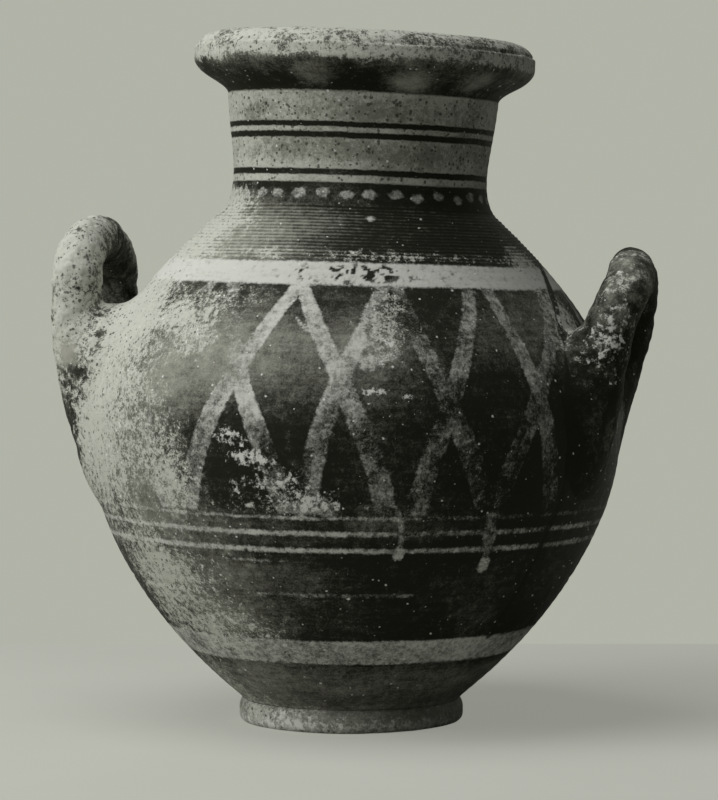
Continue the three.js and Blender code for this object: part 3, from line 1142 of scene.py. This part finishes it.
def handle_fields(node, handle, places, normals, flakes):
    """The painting on a handle, the share of it that is the handle's own, and the handle's own wear."""
    wear, thin, changes = handle_looks[node]
    wear = wear + wear_clouds * cloud(places, 13, 67, 4) + 0.3 * flakes
    thin = thin + thin_clouds * cloud(places, 7, 69, 3)
    limed = lime_base + lime_clouds * cloud(places, 16, 63)
    for centre, reach, more_wear, more_thin, more_lime in changes:
        near = np.exp(-((places - np.array(centre)) ** 2).sum(1) / reach**2)
        wear, thin, limed = wear + more_wear * near, thin + more_thin * near, limed + more_lime * near
    # Hands and soil have reached the loop's inner side least; the dark paint kept there also stands in for
    # the shade inside the loop, a painted shade
    out = handle["side"] * (belly_radius + handle["stand_off"])
    middle = np.array([out, 0, belly + handle["rise"] - loop_depth])
    inward = (normals * (middle - places)).sum(1) / np.linalg.norm(middle - places, axis=1)
    wear = wear - shelter_and_painted_shade * smooth(inward, -0.35, 0.25) * smooth(places[:, 1], -40, -10)

    turn = np.degrees(np.arctan2(places[:, 0], -places[:, 1]))
    height, radius = places[:, 2], np.hypot(places[:, 0], places[:, 1])
    own = smooth(radius - radius_at(outer_wall, height), own_start, own_full)
    of_wall = painting(places, turn, height, radius, reach_at(height))
    of_handle = {"dark": 3.0, "pale": far_out, "solid": 0.0, "stripe": far_out, "wear": wear, "thin": thin}
    of_handle.update(tone=handle_tone + 0.6 * wear, crust=np.clip(limed, 0, 1), grit=handle_grit)
    fields = {key: own * of_handle[key] + (1 - own) * of_wall[key] for key in of_handle}
    fields["wear"] = np.clip(fields["wear"], 0, 1)
    return fields, own, np.clip(wear, 0, 1)


def handle_piece(node, handle):
    places, faces = handle_solid(handle)
    if handle["side"] < 0:
        places = places * (-1, -1, 1)
    normals = surface_normals(places, faces)
    if ((places - places.mean(0)) * normals).sum() < 0:
        faces = [face[::-1] for face in faces]
        normals = -normals
    flakes = cloud(places, 3.6, 41, 3)
    fields, own, bared = handle_fields(node, handle, places, normals, flakes)
    lumps = press_height * cloud(places, 26, 61, 2) + finger_height * cloud(places, 8, 64, 2)
    lumps = lumps + flake_height * smooth(flakes, -0.1, 0.15) * bared
    push = own * lumps + (1 - own) * edge_lift
    piece = new_piece(node, slumped(places + push[:, None] * normals), faces, fields, "worn_clay")
    finish_piece(piece, node)


for handle_name, handle_sizes in handles.items():
    handle_piece(handle_name, handle_sizes)


# Table, light and camera, in metres

view_distance, view_height, aim_height = 1.8135, 0.2596, 0.1872
lens_pixels, picture_width, sensor, view_end = 3102.5, 718, 36.0, 50.0
table_near, table_edge, table_half = -2.2, 0.37, 2.4
table_dark, table_pale, table_seen = (0.50, 0.505, 0.455), (0.53, 0.535, 0.485), (0.49, 0.497, 0.437)
# How much of the table's seen colour is laid over the lit one, for the camera only
seen_share = 0.55
table_rough = 0.9
backdrop = (0.44, 0.452, 0.39)
sky_light, sky_strength = (1, 1, 0.96), 0.056
# Lamps, all aimed at one height on the jar's axis: turn from the camera's, distance, height, size and watts
lamps = {"key": (-64, 1.6, 1.0, 1.3, 21.5), "top": (-50, 0.6, 2.0, 1.4, 23.5)}
lamp_aim = 0.2


def aimed(name, data, turn, distance, height, aim):
    """A lamp or camera that looks at a height on the jar's axis."""
    holder = new_object(name, data)
    angle = math.radians(view_turn + turn)
    holder.location = (distance * math.sin(angle), -distance * math.cos(angle), height)
    holder.rotation_euler = (Vector((0, 0, aim)) - holder.location).to_track_quat("-Z", "Y").to_euler()
    return holder


def table():
    """A pale table top whose back edge lies behind the jar."""
    angle = math.radians(view_turn)
    away, right = (-math.sin(angle), math.cos(angle), 0), (math.cos(angle), math.sin(angle), 0)
    near, far = table_near * np.array(away), table_edge * np.array(away)
    side = table_half * np.array(right)
    corners = np.array([near - side, near + side, far + side, far - side])
    top = Clay("table_top")
    colour = top.mix(top.rise(top.grain(180, 3, 0.5), -0.2, 0.2), table_dark, table_pale)
    top.feed(top.shader.inputs["Base Color"], colour)
    top.shader.inputs["Roughness"].default_value = table_rough
    top.shader.inputs["Specular IOR Level"].default_value = 0.0
    glow = top.node("ShaderNodeEmission")
    glow.inputs["Color"].default_value = (*table_seen, 1)
    share = top.times(top.node("ShaderNodeLightPath").outputs["Is Camera Ray"], seen_share)
    mixed = top.mixed_shader(share, top.shader.outputs[0], glow.outputs[0])
    top.feed(top.tree.nodes["Material Output"].inputs["Surface"], mixed)
    mesh = plain_mesh("table_top", corners, [(0, 1, 2, 3)])
    mesh.materials.append(top.material)
    new_object("table_top", mesh)


def world():
    """Dim, even light all round, behind which the camera and reflections see the backdrop."""
    sky = bpy.data.worlds.new("studio")
    sky.use_nodes = True
    nodes = Nodes(sky.node_tree)
    seen, light = nodes.node("ShaderNodeBackground"), sky.node_tree.nodes["Background"]
    seen.inputs["Color"].default_value = (*backdrop, 1)
    light.inputs["Color"].default_value = (*sky_light, 1)
    light.inputs["Strength"].default_value = sky_strength
    path = nodes.node("ShaderNodeLightPath").outputs
    either = nodes.calc("MAXIMUM", path["Is Camera Ray"], path["Is Glossy Ray"])
    mixed = nodes.mixed_shader(either, light.outputs[0], seen.outputs[0])
    nodes.feed(sky.node_tree.nodes["World Output"].inputs[0], mixed)
    bpy.context.scene.world = sky


def lights():
    for name, (turn, distance, height, size, watts) in lamps.items():
        lamp = bpy.data.lights.new(name, "AREA")
        lamp.shape = "DISK"
        lamp.size = size
        lamp.energy = watts
        aimed(name, lamp, turn, distance, height, lamp_aim)


def camera():
    data = bpy.data.cameras.new("camera")
    data.sensor_fit = "HORIZONTAL"
    data.sensor_width = sensor
    data.lens = lens_pixels / picture_width * sensor
    data.clip_end = view_end
    bpy.context.scene.camera = aimed("camera", data, 0, view_distance, view_height, aim_height)


bpy.context.scene.view_settings.view_transform = "Standard"
table()
world()
lights()
camera()
